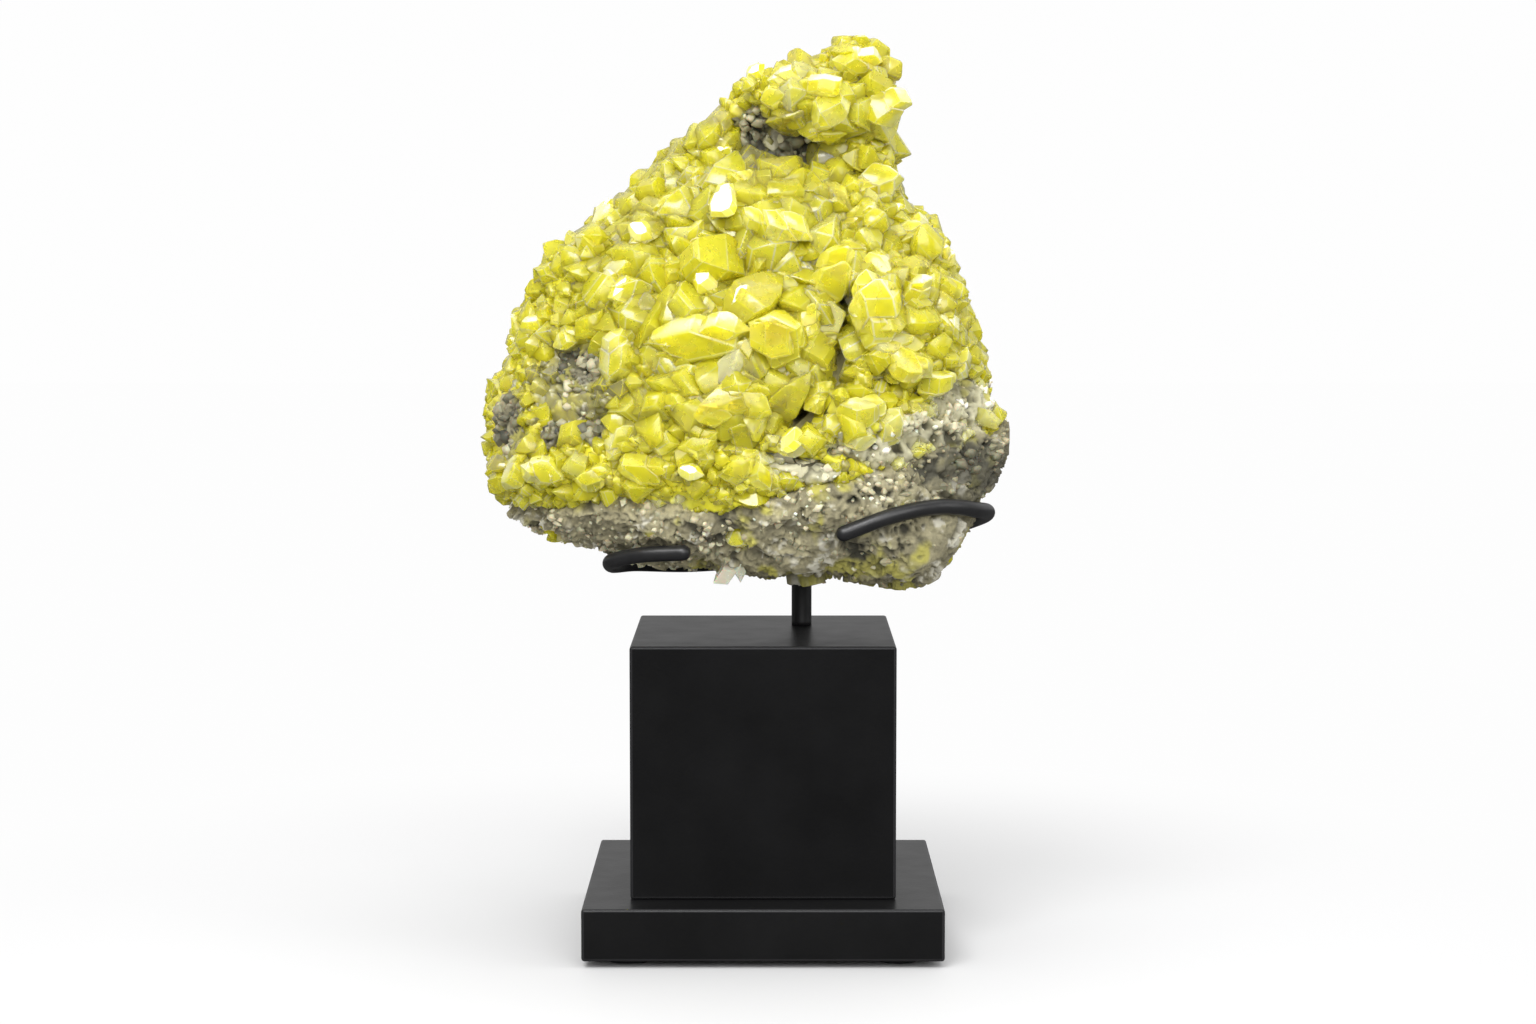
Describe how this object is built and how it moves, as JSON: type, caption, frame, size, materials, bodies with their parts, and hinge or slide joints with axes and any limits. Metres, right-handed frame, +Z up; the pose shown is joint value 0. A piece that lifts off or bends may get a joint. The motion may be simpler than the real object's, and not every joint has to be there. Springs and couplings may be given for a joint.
{
  "type": "native sulfur specimen on a display stand",
  "caption": "Native sulfur crystals crusting a lump of grey matrix rock, cradled by bent steel arms on a post above a black block and base plate.",
  "frame": {"origin": "on the surface that the feet stand on, under the middle of the object's box", "axes": "+Z up, +X to the right and -Y towards the viewer of the crystal face"},
  "size_m": [0.154, 0.104, 0.2643],
  "materials": {
    "foot_pad": "matt black",
    "lacquered_wood": "satin black lacquer over wood",
    "black_steel": "satin black paint",
    "matrix_rock": "rough, porous",
    "sulfur": "resinous, translucent crystals",
    "calcite": "pale, waxy crystal"
  },
  "bodies": {
    "root": {"foot_front_left": "foot_pad", "foot_front_right": "foot_pad", "foot_back_left": "foot_pad", "foot_back_right": "foot_pad", "base_plate": "lacquered_wood", "riser_block": "lacquered_wood", "post": "black_steel", "arm_left": "black_steel", "arm_right": "black_steel", "arm_rear": "black_steel", "matrix_rock": "matrix_rock", "sulfur_crust": "sulfur", "calcite_crystal": "calcite"}
  },
  "joints": []
}
